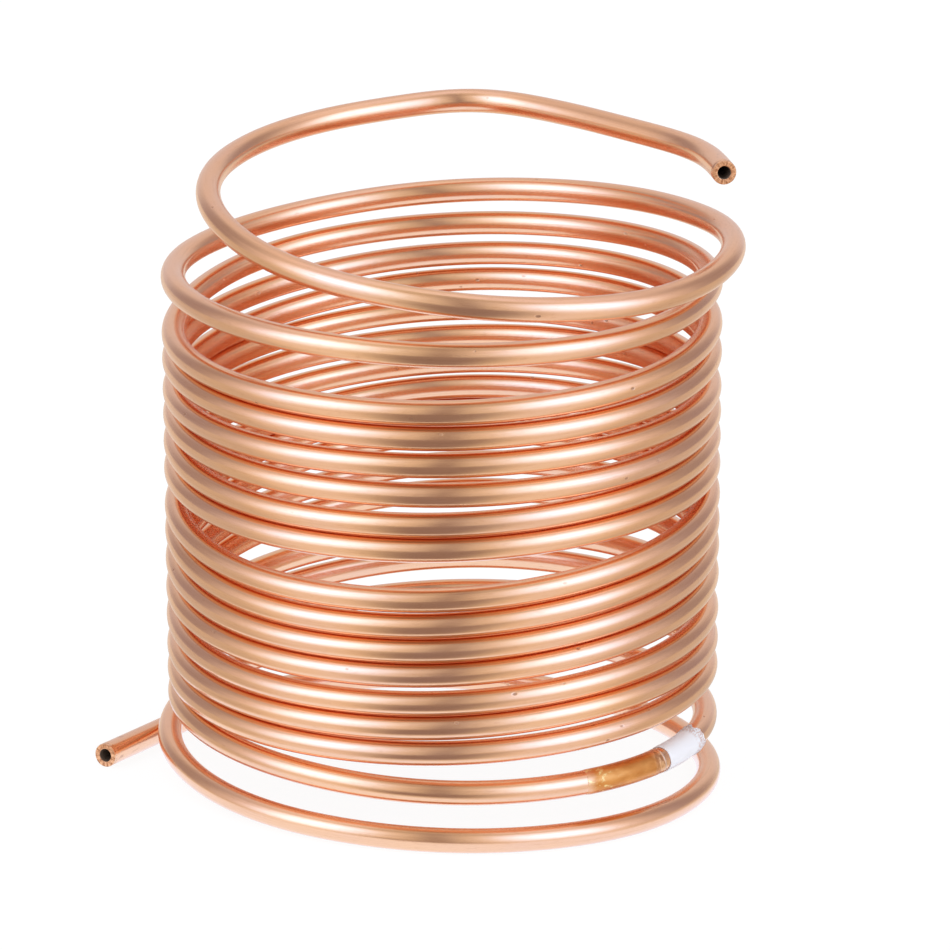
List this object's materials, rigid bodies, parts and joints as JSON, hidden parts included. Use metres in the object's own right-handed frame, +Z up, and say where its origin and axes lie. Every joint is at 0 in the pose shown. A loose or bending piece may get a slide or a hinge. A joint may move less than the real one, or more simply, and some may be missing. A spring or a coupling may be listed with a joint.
{
  "type": "copper tube coil",
  "caption": "Free-standing coil of round copper tube with open cut ends, a white tape wrap and a clear tape strip on a lower turn.",
  "frame": {"origin": "on the floor, under the middle of the coil's outline", "axes": "+Z up through the stack of turns, -Y the front, +X the side that the top cut end is on; the tail runs out on -X"},
  "size_m": [0.1568, 0.1466, 0.1628],
  "materials": {
    "copper": "satin bright copper",
    "white_tape": "smooth thin plastic tape",
    "clear_tape": "amber clear film"
  },
  "bodies": {
    "root": {"copper_tube": "copper", "white_tape_wrap": "white_tape", "clear_tape_band": "clear_tape"}
  },
  "joints": []
}
